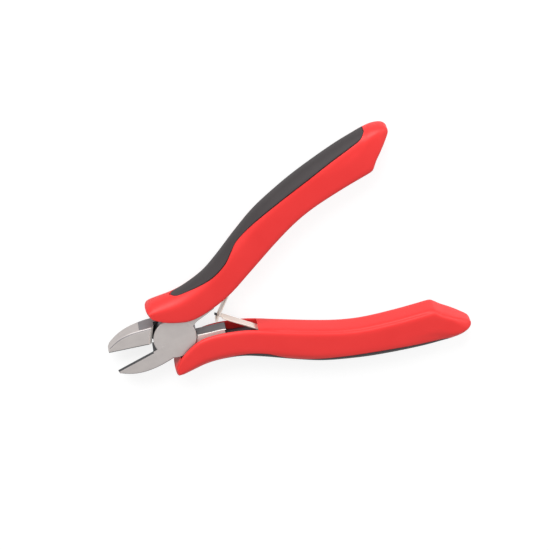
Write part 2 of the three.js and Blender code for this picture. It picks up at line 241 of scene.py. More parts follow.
# %% Nodes and finishes
class Nodes:
    """The nodes of a material or a world. node() makes any kind: its settings first, then its sockets."""

    def __init__(self, tree):
        self.tree = tree

    def node(self, kind, settings=None, inputs=None, output=0):
        made = self.tree.nodes.new(kind)
        for key, value in (settings or {}).items():
            setattr(made, key, value)
        for key, value in (inputs or {}).items():
            self.feed(made.inputs[key], value)
        return Value(self, made.outputs[output])

    def feed(self, socket, value):
        if isinstance(value, Value):
            self.tree.links.new(value.socket, socket)
        else:
            socket.default_value = value


class Finish(Nodes):
    """A material with one main shader, whose sockets are set by name."""

    def __init__(self, name, **sockets):
        self.material = bpy.data.materials.new(name)
        self.material.use_nodes = True
        super().__init__(self.material.node_tree)
        self.shader = self.tree.nodes["Principled BSDF"]
        self.set(**sockets)

    def set(self, **sockets):
        for socket, value in sockets.items():
            self.feed(self.shader.inputs[socket.replace("_", " ")], value)

    def spot(self, stretch=(1.0, 1.0, 1.0), turn=0.0):
        """Object coordinates, turned about Z and stretched."""
        coordinates = self.node("ShaderNodeTexCoord", output="Object")
        inputs = {"Vector": coordinates, "Scale": stretch, "Rotation": (0, 0, turn)}
        return self.node("ShaderNodeMapping", {}, inputs)

    def noise(self, scale, detail, **spot):
        """Soft noise, so many patches to the metre."""
        inputs = {"Vector": self.spot(**spot), "Scale": scale, "Detail": detail}
        return self.node("ShaderNodeTexNoise", {}, inputs)

    def mix(self, factor, first, second):
        """Colour between two colours."""
        return self.node("ShaderNodeMix", {"data_type": "RGBA"}, {0: factor, 6: first, 7: second}, output=2)

    def bump(self, height, strength, depth):
        """Normal tipped by a height, as if it were so deep."""
        return self.node("ShaderNodeBump", {}, {"Height": height, "Strength": strength, "Distance": depth})


def colour(red, green, blue):
    """A colour read off a screen, 0 to 255, as the linear light a shader works in."""
    screen = np.array([red, green, blue]) / 255.0
    linear = np.where(screen <= 0.04045, screen / 12.92, ((screen + 0.055) / 1.055) ** 2.4)
    return (*linear.tolist(), 1.0)


print("mid grey on a screen is %.2f in linear light" % colour(128, 128, 128)[0])

# %% [markdown]
# ## Light and floor
# The photo is lit softly from its upper edge on white. One broad lamp on that side gives the paler inner
# faces, a smaller one beyond the handles' ends lifts their end faces, and the world lifts the shadows. The
# floor is a plain white sheet: part of its white is its own glow towards the camera, which leaves the soft
# shadow of the tool readable.

# %% World, lamps and floor
WHITE, PAPER = (1.0, 1.0, 1.0, 1.0), (0.3, 0.3, 0.3, 1.0)
WORLD_LEVELS, PAPER_GLOW = (0.38, 1.0), (0.0, 0.8)
SEEN_BY = ("Is Camera Ray", "Is Glossy Ray", "Is Transmission Ray")
LAMP_AIM = (0.035, 0.0, 0.0)
FLOOR_REACH = 1.5


def studio(nodes, socket, levels):
    """The first level for most light, and the second towards the camera, mirrors and glass."""
    camera_ray, glossy, through = [nodes.node("ShaderNodeLightPath", output=ray) for ray in SEEN_BY]
    seen = camera_ray.maths("MAXIMUM", camera_ray.maths("MAXIMUM", camera_ray, glossy), through)
    inputs = {"Value": seen, "To Min": levels[0], "To Max": levels[1]}
    nodes.feed(socket, nodes.node("ShaderNodeMapRange", {}, inputs))


world = bpy.data.worlds.new("studio")
scene.world = world
world.use_nodes = True
background = world.node_tree.nodes["Background"]
background.inputs["Color"].default_value = WHITE
studio(Nodes(world.node_tree), background.inputs["Strength"], WORLD_LEVELS)


def lamp(name, spot, size, power):
    """A square area lamp that looks at the middle of the tool."""
    light = bpy.data.lights.new(name, "AREA")
    light.size, light.energy = size, power
    holder = bpy.data.objects.new(name, light)
    holder.location = spot
    holder.rotation_euler = (Vector(LAMP_AIM) - Vector(spot)).to_track_quat("-Z", "Y").to_euler()
    scene.collection.objects.link(holder)


lamp("upper_side", (0.11, 0.95, 0.54), size=0.75, power=11.0)
lamp("fill", (0.72, 0.12, 0.3), size=0.5, power=2.2)

floor_z = cad_box[0][2]
square = FLOOR_REACH * np.array([[-1, -1], [1, -1], [1, 1], [-1, 1]])
floor_mesh = bpy.data.meshes.new("floor")
floor_mesh.from_pydata([(x, y, floor_z) for x, y in square.tolist()], [], [[0, 1, 2, 3]])
floor = bpy.data.objects.new("floor", floor_mesh)
scene.collection.objects.link(floor)
paper = Finish("white_paper", Base_Color=PAPER, Roughness=0.9, Emission_Color=WHITE)
studio(paper, paper.shader.inputs["Emission Strength"], PAPER_GLOW)
floor_mesh.materials.append(paper.material)
print("floor at %.1f mm" % (floor_z / MILLIMETRE))

# %% [markdown]
# ## The finishes
# The grips are a satin red moulding with the faint orange-peel of a steel mould. A painted-on picture could
# show that too, but noise in the shader has no seams and stays fine when the camera comes close: a slow drift
# of colour, and a quick one that tips the normals.

# %% Red grip
def grip_finish():
    """Red between two shades, rougher where it is paler, with a fine peel."""
    finish = Finish("grip_red", Specular_IOR_Level=0.42)
    drift = finish.noise(scale=70.0, detail=2.0)
    peel = finish.noise(scale=2600.0, detail=2.0)
    shade = finish.mix(drift, colour(232, 44, 43), colour(242, 56, 54))
    finish.set(Base_Color=shade, Roughness=0.4 + 0.12 * drift + 0.05 * peel)
    finish.set(Normal=finish.bump(peel, strength=0.12, depth=0.00006))
    return finish.material


GRIP = grip_finish()
print("finish:", GRIP.name)

# %% [markdown]
# The inlays are a softer dark rubber. The same two noises make it, the quick one finer and stronger, because
# the stipple of rubber is deeper than the peel and takes its gloss away.

# %% Dark inlay
def inlay_finish():
    """Dark grey between two shades, dull, with a fine stipple."""
    finish = Finish("inlay_rubber", Specular_IOR_Level=0.35)
    drift = finish.noise(scale=90.0, detail=3.0)
    stipple = finish.noise(scale=3800.0, detail=1.0)
    shade = finish.mix(drift, colour(51, 46, 47), colour(67, 62, 63))
    finish.set(Base_Color=shade, Roughness=0.58 + 0.12 * drift)
    finish.set(Normal=finish.bump(stipple, strength=0.22, depth=0.00007))
    return finish.material


INLAY = inlay_finish()
print("finish:", INLAY.name)

# %% [markdown]
# The steel is ground along the tool, so its scratches are long in X and short across: noise that is stretched
# along one axis. One recipe gives the four states that show: ground flats, darker walls, a dark steel that is
# painted shade in the bevels, notches and gaps, and the pale milled flats of the tangs. The darker walls also
# paint shade over the jaw's rounded back corner, and the pale steel paints a highlight on the lap step's
# chamfer.

# %% Steel in four states
def steel_finish(name, low, high, metal, rough):
    """Steel between two shades, with long scratches along the tool and soft clouds."""
    finish = Finish(name, Metallic=metal)
    scratches = finish.noise(scale=900.0, detail=4.0, stretch=(0.06, 1.0, 1.0), turn=0.35)
    clouds = finish.noise(scale=240.0, detail=3.0)
    finish.set(Base_Color=finish.mix(clouds * 0.6 + scratches * 0.4, low, high))
    finish.set(Roughness=rough + 0.14 * scratches)
    finish.set(Normal=finish.bump(scratches, strength=0.16, depth=0.00004))
    return finish.material


GROUND = steel_finish("steel_ground", colour(173, 166, 164), colour(199, 193, 190), metal=0.75, rough=0.42)
# Darker walls; this steel also paints shade over the jaw's rounded back corner.
DARK_WALLS_AND_SHADE = steel_finish("steel_dark_walls_and_painted_shade", colour(118, 115, 117), colour(142, 138, 140), metal=0.8, rough=0.5)
# Painted shade: this dark steel stands for shade in the edge's bevels, the notches, the gaps and the tongue's
# end.
PAINTED_SHADE = steel_finish("steel_painted_shade", colour(58, 58, 60), colour(80, 80, 82), metal=0.85, rough=0.36)
# Pale milled flats of the tangs; this steel also paints a highlight on the lap step's chamfer.
MILLED_AND_HIGHLIGHT = steel_finish("steel_milled_and_painted_highlight", colour(226, 218, 212), colour(242, 235, 230), metal=0.45, rough=0.42)
STEEL = (GROUND, DARK_WALLS_AND_SHADE, PAINTED_SHADE, MILLED_AND_HIGHLIGHT)
print("finishes:", [material.name for material in STEEL])

# %% [markdown]
# The rivet's head is turned, and a lathe leaves rings. The distance from the joint's axis, put through a
# sine, gives them with no picture and at any size.

# %% Rivet steel
RINGS_PER_METRE = 22000.0


def rivet_finish():
    """Plain steel with fine rings: the sine of the radius, which is the root of x squared plus y squared."""
    finish = Finish("rivet_turned", Metallic=1.0)
    x, y = [finish.node("ShaderNodeSeparateXYZ", {}, {0: finish.spot()}, output=axis) for axis in (0, 1)]
    radius = (x * x + y * y) ** 0.5
    rings = radius.maths("SINE", radius * RINGS_PER_METRE)
    clouds = finish.noise(scale=500.0, detail=3.0)
    finish.set(Base_Color=finish.mix(clouds, colour(158, 154, 153), colour(186, 182, 180)))
    finish.set(Roughness=0.34 + 0.12 * clouds)
    finish.set(Normal=finish.bump(rings, strength=0.15, depth=0.00003))
    return finish.material


RIVET = rivet_finish()
print("finish:", RIVET.name)

# %% [markdown]
# The leaves are bright rolled strip, the palest metal on the tool. They are only part metal to the shader, so
# that they stay pale where they have nothing bright to mirror.

# %% Bright leaf
def leaf_finish():
    """Pale steel with fine rolling marks along the strip."""
    finish = Finish("leaf_bright", Metallic=0.55)
    rolled = finish.noise(scale=1400.0, detail=3.0, stretch=(0.12, 0.12, 1.0))
    clouds = finish.noise(scale=300.0, detail=2.0)
    finish.set(Base_Color=finish.mix(clouds, colour(226, 211, 200), colour(243, 232, 222)))
    finish.set(Roughness=0.26 + 0.16 * rolled)
    finish.set(Normal=finish.bump(rolled, strength=0.1, depth=0.00003))
    return finish.material


LEAF = leaf_finish()
print("finish:", LEAF.name)

# %% [markdown]
# ## Handing a piece over
# A finished piece gets its materials, the body that it moves with and the CAD node that it stands for. That
# is the same for every piece, so one function does it and says what it did.

# %% Dress a piece
def dress(piece, finishes, body, node):
    """Give a piece its finishes, the body that it rides on, if any, and the CAD node that it stands for."""
    piece.data.materials.clear()
    for finish in finishes:
        piece.data.materials.append(finish)
    if body:
        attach(piece, body)
    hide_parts(node)
    print(piece.name, len(piece.data.polygons), "faces for", node)


# %% [markdown]
# ## The grips
# Each grip is one moulding over its tang. Cut across, it is flat with tight corners towards the other handle
# and rounder outside, so a superellipse with a different squareness on each side draws it. Its inner and
# outer edges are smooth curves along the handle, and its depth falls off at the nose and at the slanted end,
# where two flat facets also cut its corners. The same loop also folds in twice: into the pocket where the
# steel enters, and into the bed of the inlay. One grid then holds the whole moulding, with no cutting
# afterwards.

# %% Outlines of the grip
GRIP_START, GRIP_TIP = -2.6, 96.1
GRIP_CORNER = (85.0, 14.3)
GRIP_HALF_DEPTH, END_HALF_DEPTH, END_RUN = 5.3, 1.6, 17.0
NOSE_EDGE, NOSE_EDGE_DEPTH, NOSE_SLOPE, NOSE_BLEND = -2.2, 5.15, 3.0, 0.3
CORNER_ROUND, CORNER_RUN = 0.25, 1.6
INLAY_START, INLAY_STOP = 6.4, 89.4

grip_outer = smooth_edge([
    (GRIP_START, 13.9), (-0.2, 14.3), (7.8, 13.0), (12.8, 12.9), (19.8, 13.8), (26.7, 16.2), (35.6, 19.9),
    (44.6, 23.2), (53.6, 25.2), (63.5, 26.7), (77.5, 27.8), (86.5, 27.8), (91.5, 27.3), (94.5, 26.2),
    (95.8, 25.0), (GRIP_TIP, 23.9),
])
grip_flat = smooth_edge([
    (GRIP_START, 10.6), (-1.0, 8.7), (0.9, 6.6), (4.4, 4.1), (7.5, 2.6), (11.5, 2.0), (16.6, 2.2),
    (24.0, 3.4), (33.6, 6.5), (45.6, 10.5), (54.2, 12.9), (61.8, 14.1), (72.8, 14.5), GRIP_CORNER,
])
grip_end_face = smooth_edge([
    GRIP_CORNER, (87.5, 16.7), (90.0, 18.5), (94.0, 21.4), (95.7, 22.8), (GRIP_TIP, 23.7),
])
inlay_edge = smooth_edge([
    (INLAY_START, 13.3), (8.6, 12.5), (11.8, 12.1), (18.3, 11.8), (23.2, 12.3), (28.2, 14.0), (31.8, 16.3),
    (35.2, 18.4), (42.7, 20.7), (53.3, 22.5), (65.7, 24.0), (75.7, 25.2), (83.0, 25.8), (87.0, 26.3),
    (INLAY_STOP, 27.4),
])


def grip_inner(x):
    """The flat towards the other handle as far as the corner, which is rounded, then the slanted end face."""
    near = np.clip(1 - np.abs(x - GRIP_CORNER[0]) / CORNER_RUN, 0, 1)
    return np.where(x <= GRIP_CORNER[0], grip_flat(x), grip_end_face(x)) + CORNER_ROUND * near ** 2


def softer_min(a, b, width):
    """The lesser of two values, with a round of the given width where they cross."""
    h = np.clip(0.5 + 0.5 * (b - a) / width, 0, 1)
    return b + (a - b) * h - width * h * (1 - h)


def grip_half_depth(x):
    """Full depth, less a straight bevel at the nose and a quarter round of fourth power at the end."""
    end = np.clip(1 - (GRIP_TIP - x) / END_RUN, 0, 1)
    body = GRIP_HALF_DEPTH - (GRIP_HALF_DEPTH - END_HALF_DEPTH) * (1 - np.sqrt(1 - end ** 4))
    bevel = NOSE_EDGE_DEPTH + NOSE_SLOPE * (x - NOSE_EDGE)
    return softer_min(bevel, body, NOSE_BLEND)


print("grip from x = %.1f to %.1f mm in its own drawing" % (GRIP_START, GRIP_TIP))

# %% [markdown]
# A section in polar form is easy to walk round: an angle gives a radius. The skin's normal comes from two
# points close by, so that a groove or the inlay's bed can be sunk square to the surface.

# %% A point on the grip's skin
INNER_SQUARENESS, OUTER_SQUARENESS = 5.0, 2.3
LAND, LAND_SHARPNESS = 1.05, 24.0
CLOSE_BY = 0.01
WIDTH_LIMITS = (0.05, 0.9999)


def land(deep):
    """Superellipse height with its crown pressed flat: a soft cap at full depth."""
    raised = LAND * np.abs(deep)
    full = LAND / (1 + LAND ** LAND_SHARPNESS) ** (1 / LAND_SHARPNESS)
    return np.sign(deep) * raised / (1 + raised ** LAND_SHARPNESS) ** (1 / LAND_SHARPNESS) / full


def unit_section(angle):
    """Superellipse in polar form: radius one over the n-norm of cosine and sine, squarer inside."""
    c, s = np.cos(angle), np.sin(angle)
    n = np.where(c > 0, OUTER_SQUARENESS, INNER_SQUARENESS)
    radius = (np.abs(c) ** n + np.abs(s) ** n) ** (-1 / n)
    return radius * c, land(radius * s)


def grip_skin(x, angle, sink=0.0):
    """Point at station x and an angle round the section, 0 outside and a quarter turn in front, then sunk."""
    inner, outer, depth = grip_inner(x), grip_outer(x), grip_half_depth(x)
    middle, half = (inner + outer) / 2, (outer - inner) / 2

    def at(a):
        wide, deep = unit_section(a)
        return middle + half * wide, depth * deep

    y, z = at(angle)
    (y0, z0), (y1, z1) = at(angle - CLOSE_BY), at(angle + CLOSE_BY)
    length = np.hypot(y1 - y0, z1 - z0) + 1e-9
    return np.stack([x + 0 * y, y - sink * (z1 - z0) / length, z + sink * (y1 - y0) / length], axis=-1)


def inlay_angle(x):
    """Angle at which the skin reaches the inlay's edge: the polar superellipse solved for its width."""
    inner, outer = grip_inner(x), grip_outer(x)
    wide = (inlay_edge(x) - (inner + outer) / 2) / ((outer - inner) / 2)
    return np.arctan((np.clip(wide, *WIDTH_LIMITS) ** -OUTER_SQUARENESS - 1) ** (1 / OUTER_SQUARENESS))


print("front of the grip at x = 50 mm:", np.round(grip_skin(50.0, np.pi / 2), 2).tolist())

# %% [markdown]
# The moulding has fine forms too: a flat facet at the nose and one at the end face, a groove along the front
# edge of the inner side where the mould closed, and a soft valley that follows the inlay's edge to the end.
# Each is a depth worked out from a point's place, so all of them ride on the same grid.

# %% Facets, groove and valley
NOSE_FACET = {"point": (-0.7, 8.5), "ahead": (-0.844, -0.536), "slope": 3.2}
END_FACET = {"point": (88.7, 17.5), "ahead": (0.845, -0.535), "slope": 0.9}
FACET_FLOOR, FACET_BLEND = 0.8, 0.7
GROOVE = {"depth": 0.22, "span": (30.0, 84.0), "fades": (4.0, 2.0), "width": 0.035}
GROOVE_ANGLE = 2.43
VALLEY = {"depth": 0.22, "span": (72.0, 90.5), "fades": (12.0, 7.0), "width": 0.2}
VALLEY_OFFSET = 0.3


def facet_drop(x, y, facet):
    """How far a facet has cut down: its slope times the distance past its line in plan."""
    return facet["slope"] * (
        facet["ahead"][0] * (x - facet["point"][0]) + facet["ahead"][1] * (y - facet["point"][1])
    )


def facet_depth(x, y):
    """Half depth that the two facets leave, with a floor under them."""
    drop = np.maximum(facet_drop(x, y, NOSE_FACET), facet_drop(x, y, END_FACET))
    return np.maximum(GRIP_HALF_DEPTH - drop, FACET_FLOOR)


def dent(x, angle, middle, form):
    """Depth of a dent along the handle: a bell about an angle, faded in and out at the ends of its span."""
    (start, stop), (fade_in, fade_out) = form["span"], form["fades"]
    along = np.clip((x - start) / fade_in, 0, 1) * np.clip((stop - x) / fade_out, 0, 1)
    return form["depth"] * along * np.exp(-((angle - middle) / form["width"]) ** 2)


print("groove %.2f mm deep at x = 50 mm" % dent(50.0, GROOVE_ANGLE, GROOVE_ANGLE, GROOVE))

# %% [markdown]
# The pocket at the grip's inner side takes the tang and the rim of the joint's boss, with a small gap round
# both. Its roof follows the tang's edge, so the tang is drawn here already, and its lips end where the skin
# has come down to the pocket's half depth.

# %% Tang and pocket
POCKET_HALF_DEPTH, POCKET_END, HEAD_ROOM_RADIUS = 4.0, 27.2, 8.7
TANG_START, TANG_LENGTH, TANG_INNER_START = 2.0, 62.0, (6.0, 1.4)
LIP_TABLE_STEPS = 2000

tang_outer = smooth_edge([
    (TANG_START, 6.9), (12.0, 9.4), (20.0, 9.9), (28.0, 11.6), (40.0, 16.0), (52.0, 19.4),
    (TANG_LENGTH, 21.0),
])
tang_inner = smooth_edge([
    TANG_INNER_START, (11.5, 1.7), (16.6, 2.0), (26.5, 5.3), (40.0, 11.6), (52.0, 15.7),
    (TANG_LENGTH, 17.8),
])


def pocket_roof(x):
    """The tang's outer edge plus the gap, or the round room for the boss, whichever is further out."""
    room = np.sqrt(np.clip(HEAD_ROOM_RADIUS ** 2 - x ** 2, 0, None))
    return np.maximum(room, np.where(x > TANG_START, tang_outer(x) + FIT_GAP, 0))


def lip_angle(x, height):
    """Angle on the inner side at which the skin has come down to the given height."""
    table = np.linspace(np.pi, np.pi / 2, LIP_TABLE_STEPS)
    return np.interp(height / grip_half_depth(x), unit_section(table)[1], table)


print("pocket's roof at x = 20 mm: y = %.1f mm" % pocket_roof(20.0))

# %% [markdown]
# The half loop below runs from the middle of the outer side to the middle of the inner side: the bed of the
# inlay, the red flank, the rounded lip and the pocket's wall and roof. Mirroring it front to back closes it.

# %% Grip loops
LIP_ROUND, LIP_SHARE = 0.35, 0.86
LEAST_POCKET = 3 * LIP_ROUND
BED_DEPTH, BED_SHARE, LEAST_ANGLE = 1.3, 0.97, 0.12
BED_STEPS, FLANK_STEPS, LIP_STEPS, WALL_STEPS, ROOF_STEPS = 12, 72, 5, 7, 12
INNER_STEPS = LIP_STEPS + WALL_STEPS + ROOF_STEPS


def steps_to_one(count):
    """Even steps that end at one, without the nought that they start from."""
    return np.linspace(0, 1, count + 1)[1:]


def grip_half_loops(x):
    """For each station: bed of the inlay, flank, lip round, pocket wall and pocket roof."""
    x = x[:, None]
    bedded = (x > INLAY_START) & (x < INLAY_STOP)
    edge = np.maximum(inlay_angle(x), LEAST_ANGLE)
    bed = grip_skin(x, edge * np.linspace(0, BED_SHARE, BED_STEPS), np.where(bedded, BED_DEPTH, 0.0))
    top = np.minimum(POCKET_HALF_DEPTH + LIP_ROUND, LIP_SHARE * grip_half_depth(x))
    lip = lip_angle(x, top)
    front = edge + (lip - edge) * np.linspace(0, 1, FLANK_STEPS)
    inner = lip + (np.pi - lip) * steps_to_one(INNER_STEPS)
    valley = dent(x, front, edge + VALLEY_OFFSET, VALLEY)
    flank = grip_skin(x, front, dent(x, front, GROOVE_ANGLE, GROOVE) + valley)
    closed = grip_skin(x, inner, dent(x, inner, GROOVE_ANGLE, GROOVE))
    y_lip, z_wall, roof = flank[:, -1:, 1], top - LIP_ROUND, pocket_roof(x)
    bend = np.pi / 2 * steps_to_one(LIP_STEPS)
    lip_y = y_lip + LIP_ROUND * (1 - np.cos(bend))
    lip_z = z_wall + LIP_ROUND * (1 - np.sin(bend))
    wall_y = lip_y[:, -1:] + (roof - lip_y[:, -1:]) * steps_to_one(WALL_STEPS)
    roof_z = z_wall * (1 - steps_to_one(ROOF_STEPS))
    opened_y = np.concatenate([lip_y, wall_y, roof + 0 * roof_z], axis=1)
    opened_z = np.concatenate([lip_z, z_wall + 0 * wall_y, roof_z], axis=1)
    opened = np.stack([x + 0 * opened_y, opened_y, opened_z], axis=-1)
    is_open = ((roof - y_lip > LEAST_POCKET) & (x < POCKET_END))[..., None]
    half = np.concatenate([bed, flank, np.where(is_open, opened, closed)], axis=1)
    half[..., 2] = softer_min(half[..., 2], facet_depth(half[..., 0], half[..., 1]), FACET_BLEND)
    return half


def whole_loops(half):
    """The front half loop, then its mirror image at the back, without repeating the two middle points."""
    rear = half[:, -2:0:-1] * [1, 1, -1]
    return np.concatenate([half, rear], axis=1)


print("points round the grip:", 2 * (BED_STEPS + FLANK_STEPS + INNER_STEPS) - 2)

# %% [markdown]
# The loops are set close together where the outline turns quickly, and in pairs where the bed or the pocket
# starts or stops, so that those steps come out upright. In front of the first loop a few shrinking ones round
# the nose off.

# %% Grip pieces
NOSE_STOP, STATION_GAP, PAIR_GAP = 4.0, 0.3, 0.02
NOSE_STATIONS, BODY_STATIONS, END_STATIONS = 40, 190, 44
NOSE_ROUND, NOSE_STEPS, NOSE_POINT = 0.3, 6, 0.02


def grip_stations():
    """Even steps along the handle, closer at the nose and the tip, and a close pair at each sudden change."""
    nose = np.linspace(GRIP_START, NOSE_STOP, NOSE_STATIONS)
    body = np.linspace(NOSE_STOP + STATION_GAP, GRIP_CORNER[0] - STATION_GAP, BODY_STATIONS)
    ease = np.sin(np.linspace(0, np.pi / 2, END_STATIONS))
    end = GRIP_CORNER[0] + (GRIP_TIP - PAIR_GAP - GRIP_CORNER[0]) * ease
    pairs = np.array([INLAY_START, INLAY_STOP, POCKET_END])
    return np.unique(np.concatenate([nose, body, end, pairs - PAIR_GAP, pairs + PAIR_GAP]))


def rounded_nose(loops):
    """Draw the first loop together over a short quarter round in front of it, so that the nose isn't flat."""
    first = loops[0]
    centre = first.mean(axis=0)
    turn = np.linspace(np.pi / 2, 0, NOSE_STEPS + 1)[:-1, None, None]
    shrink = np.maximum(np.cos(turn), NOSE_POINT)
    forward = np.array([NOSE_ROUND, 0, 0]) * np.sin(turn)
    return np.concatenate([centre + (first - centre) * shrink - forward, loops], axis=0)


for side, body, node in ((1, "front", "upper_grip"), (-1, "rear", "lower_grip")):
    loops = rounded_nose(whole_loops(grip_half_loops(grip_stations())))
    dress(loop_piece(node + "_moulding", loops, side), (GRIP,), body, node)

# %% [markdown]
# ## The inlays
# The soft inlay fills a bed on the outer side of each grip. It is the same skin, cut to the inlay's edge less
# a hair, with its border rolled down into the bed, so that a fine groove parts it from the red as on a
# two-shot moulding.

# %% Inlay loops
INLAY_GAP, INLAY_ROLL, INLAY_SINK, INLAY_LEAST_ANGLE = 0.12, 0.55, 0.4, 0.02
INLAY_ROWS, INLAY_TOP_STEPS, INLAY_UNDER_STEPS = 240, 61, 15
END_ROLL, BED_GAP = 1.2, 0.1


def inlay_loops():
    """Outer skin between the two edges, rolled down at the border by a quarter round, then the underside."""
    t = np.linspace(0, np.pi, INLAY_ROWS)
    middle, reach = (INLAY_START + INLAY_STOP) / 2, (INLAY_STOP - INLAY_START) / 2 - INLAY_GAP
    x = (middle - reach * np.cos(t))[:, None]
    girth = (grip_outer(x) - grip_inner(x)) / 2
    edge = np.maximum(inlay_angle(x) - INLAY_GAP / girth, INLAY_LEAST_ANGLE)
    across = np.linspace(-1, 1, INLAY_TOP_STEPS)
    border = np.minimum((1 - np.abs(across)) * edge * girth, (reach - np.abs(x - middle)) * END_ROLL)
    rolled = np.clip(1 - border / INLAY_ROLL, 0, 1)
    top = grip_skin(x, edge * across, INLAY_SINK * (1 - np.sqrt(1 - rolled ** 2)))
    under = grip_skin(x, edge * np.linspace(1, -1, INLAY_UNDER_STEPS), BED_DEPTH - BED_GAP)
    return np.concatenate([top, under], axis=1)


for side, body, node in ((1, "front", "upper_grip_insert"), (-1, "rear", "lower_grip_insert")):
    dress(loop_piece(node + "_soft", inlay_loops(), side), (INLAY,), body, node)

# %% [markdown]
# ## Turned and cut steel
# The boss and the rivet are turned shapes: a profile of radius and height carried round the joint's axis. The
# jaw and the tang are rounded polygons carried along X. Exact Booleans then join and cut them as forging,
# milling and grinding would, and weighted normals keep the ground flats flat.

# %% Lathe, bars and Booleans
ROUND_STEPS = 96
AXIS_RADIUS = 0.001
LONGEST_ROUND = 0.45


def lathe(name, profile):
    """A profile of (radius, z) carried round the joint's axis. Its two ends lie next to the axis."""
    profile = np.array(profile, float)
    angle = np.linspace(0, 2 * np.pi, ROUND_STEPS, endpoint=False)
    radius, z = profile[:, :1], profile[:, 1:]
    own = np.stack([radius * np.cos(angle), radius * np.sin(angle), z + 0 * angle], axis=-1)
    return loop_piece(name, own, 1)


def rounded(polygon, radii, steps=5):
    """Each corner becomes a short parabola between points a radius along its two sides."""
    to_before, to_after = np.roll(polygon, 1, axis=1) - polygon, np.roll(polygon, -1, axis=1) - polygon
    reach_before = np.linalg.norm(to_before, axis=-1, keepdims=True) + 1e-9
    reach_after = np.linalg.norm(to_after, axis=-1, keepdims=True) + 1e-9
    r = np.asarray(radii, float)[None, :, None]
    start = polygon + to_before / reach_before * np.minimum(r, LONGEST_ROUND * reach_before)
    stop = polygon + to_after / reach_after * np.minimum(r, LONGEST_ROUND * reach_after)
    t = np.linspace(0, 1, steps)[None, None, :, None]
    a, b, c = start[:, :, None], polygon[:, :, None], stop[:, :, None]
    curve = (1 - t) ** 2 * a + 2 * t * (1 - t) * b + t ** 2 * c
    return curve.reshape(polygon.shape[0], -1, 2)


def bar(name, x, corners, radii, side):
    """A polygon of (y, z) corners, each an array over the stations x, rounded and joined along the bar."""
    polygon = np.stack([np.stack(corner, axis=-1) for corner in corners], axis=1)
    sections = rounded(polygon, radii)
    own = np.concatenate([np.broadcast_to(x[:, None, None], sections.shape[:2] + (1,)), sections], axis=-1)
    return loop_piece(name, own, side)


def upright(name, outline, bottom, top, side):
    """An upright prism on an outline of (x, y) points."""
    outline = np.array(outline, float)
    plan = np.broadcast_to(outline, (2,) + outline.shape)
    levels = np.array([bottom, top])[:, None, None] + 0 * plan[..., :1]
    return loop_piece(name, np.concatenate([plan, levels], axis=-1), side)


def combine(piece, tool, operation):
    """Join or cut a piece by another, keep the result as its mesh and remove the tool."""
    step = piece.modifiers.new("step", "BOOLEAN")
    step.operation, step.object, step.solver = operation, tool, "EXACT"
    made = bpy.data.meshes.new_from_object(piece.evaluated_get(bpy.context.evaluated_depsgraph_get()))
    piece.modifiers.clear()
    piece.data = made
    bpy.data.objects.remove(tool)
    return piece


print("turned pieces have", ROUND_STEPS, "sides")

# %% [markdown]
# The jaw is drawn at each station from its cutting edge round to its bowed back. Two ground bevels meet in
# the edge, half a millimetre under the front, and both flats draw together towards the tip.

# %% Jaw
JAW_LENGTH, JAW_ROOT, JAW_TAPER_START, JAW_TIP_HALF_THICKNESS = 22.3, -3.575, 8.6, 2.1
JAW_TIP_WIDTH, JAW_ROOT_WIDTH, JAW_BACK_FULLNESS, JAW_LEAST_BACK = 1.4, 6.1, 3.8, 0.06
JAW_TAPER_SLOPE = (HALF_THICKNESS - JAW_TIP_HALF_THICKNESS) / (JAW_LENGTH - JAW_TAPER_START)
EDGE, EDGE_DEPTH, FRONT_BEVEL, REAR_BEVEL = -0.1, 0.5, 1.0, 0.48
JAW_ROUNDS = (0.04, 0.05, 0.9, 0.45, 0.1)
JAW_STATIONS, JAW_PAIR = 64, np.array([-0.01, 0.01])


def jaw_piece(name, side):
    """Edge, front bevel, front flat, back and rear flat of the jaw at each station, with rounded corners."""
    even = np.linspace(-JAW_LENGTH, JAW_ROOT, JAW_STATIONS)
    x = np.unique(np.concatenate([even, JAW_PAIR - JAW_TAPER_START]))
    half = HALF_THICKNESS - JAW_TAPER_SLOPE * np.clip(-JAW_TAPER_START - x, 0, None)
    left = np.clip((JAW_ROOT - x) / (JAW_ROOT + JAW_LENGTH), 0, 1)
    back_y = -JAW_TIP_WIDTH - (JAW_ROOT_WIDTH - JAW_TIP_WIDTH) * (1 - left ** JAW_BACK_FULLNESS)
    edge_z = half - EDGE_DEPTH
    bevelled = x < -JAW_TAPER_START
    front_y = EDGE - np.where(bevelled, FRONT_BEVEL * EDGE_DEPTH, 0.0)
    rear_y = EDGE - np.where(bevelled, REAR_BEVEL * (edge_z + half), 0.0)
    rear_y = np.maximum(rear_y, back_y + JAW_LEAST_BACK)
    rear_z = np.where(bevelled, edge_z - (EDGE - rear_y) / REAR_BEVEL, -half)
    corners = [(EDGE + 0 * x, edge_z), (front_y, half), (back_y, half), (back_y, rear_z), (rear_y, rear_z)]
    return bar(name, x, corners, JAW_ROUNDS, side)


print("jaw narrows by %.3f mm on each face in each mm" % JAW_TAPER_SLOPE)

# %% [markdown]
# The boss is a disc with a small ground chamfer. At the jaw's root a slanted step makes room for the other
# half's boss, and round the joint each half keeps only its own layer of the thickness. In front, a web of the
# same height runs from the boss into the upper grip. The Booleans dislike faces that lie in one plane, so the
# boss and the web are lower than the jaw by a hair.

# %% Boss and lap step
BOSS_RADIUS, SEAT_RADIUS, CHAMFER, HAIR = 7.15, 7.45, 0.22, 0.02
STEP_ANGLE, STEP_CHAMFER = math.radians(19.0), 1.1
PAST = 40.0


def disc(name, radius, bottom, top, chamfer=0.0):
    """A turned disc with a chamfer on both rims."""
    lower = [(AXIS_RADIUS, bottom), (radius - chamfer, bottom), (radius, bottom + chamfer)]
    upper = [(radius, top - chamfer), (radius - chamfer, top), (AXIS_RADIUS, top)]
    return lathe(name, lower + upper)


